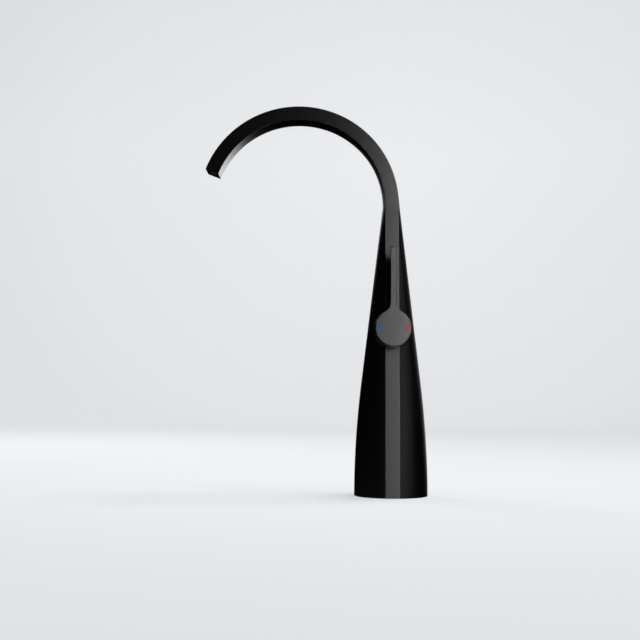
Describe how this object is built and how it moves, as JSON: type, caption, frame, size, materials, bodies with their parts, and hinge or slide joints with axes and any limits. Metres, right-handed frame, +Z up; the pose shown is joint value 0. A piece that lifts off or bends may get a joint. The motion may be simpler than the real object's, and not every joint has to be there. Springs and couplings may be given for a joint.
{
  "type": "single-lever basin mixer",
  "caption": "Tall deck-mounted basin mixer: tapering cone body, flat ribbon spout arching over to one side, and a disc lever with a thin upright stem on the front.",
  "frame": {"origin": "centre of the round base, on the surface that it stands on", "axes": "+Z up; -Y towards the user, where the lever is; -X the way the spout reaches; +X to the user's right"},
  "size_m": [0.1783, 0.0626, 0.3101],
  "materials": {
    "black_coat": "satin black coating on brass",
    "cold_enamel": "blue enamel inlay",
    "hot_enamel": "red enamel inlay",
    "steel": "plain stainless steel",
    "brass": "machined brass",
    "copper": "drawn copper tube",
    "pale_plastic": "moulded acetal",
    "tan_plastic": "filled moulded plastic",
    "red_plastic": "moulded stop ring",
    "dark_plastic": "moulded black plastic",
    "grey_plastic": "moulded dark grey plastic",
    "tube_plastic": "milky flexible tube",
    "ceramic": "lapped alumina",
    "rubber": "black seal rubber"
  },
  "bodies": {
    "root": {"body_shell": "black_coat", "spout_shell": "black_coat", "aerator_frame": "dark_plastic", "aerator_grid": "grey_plastic", "aerator_seal": "rubber", "rotor_o_ring": "rubber", "stop_ring": "red_plastic", "cartridge_bonnet": "black_coat", "cartridge_nut": "brass", "cartridge_housing": "pale_plastic", "fixed_disc": "ceramic", "cartridge_base": "pale_plastic", "cartridge_seals": "rubber", "valve_block": "brass", "cold_tube": "copper", "hot_tube": "copper", "outlet_tube": "tube_plastic", "tube_o_rings": "rubber", "foot_insert": "brass", "foot_screws": "steel", "deck_gasket": "rubber"},
    "rotor": {"rotor": "pale_plastic", "spindle_pin": "steel"},
    "lever": {"lever_handle": "black_coat", "cold_mark": "cold_enamel", "hot_mark": "hot_enamel", "handle_set_screw": "steel", "spindle": "steel"},
    "carrier": {"disc_carrier": "tan_plastic", "moving_disc": "ceramic"}
  },
  "joints": [
    {"name": "temperature_turn", "type": "hinge", "parent": "root", "child": "rotor", "pos_m": [0, 0, 0.131], "axis": [0, 1, 0], "range_deg": [-45, 45]},
    {"name": "flow_lift", "type": "hinge", "parent": "rotor", "child": "lever", "pos_m": [0, -0.0156, 0.131], "axis": [1, 0, 0], "range_deg": [0, 20]},
    {"name": "disc_slide", "type": "slide", "parent": "rotor", "child": "carrier", "axis": [0, 0, 1], "range_m": [0, 0.00275]}
  ],
  "couplings": [
    {"joint": "disc_slide", "follows": "flow_lift", "m_per_rad": 0.00784}
  ]
}
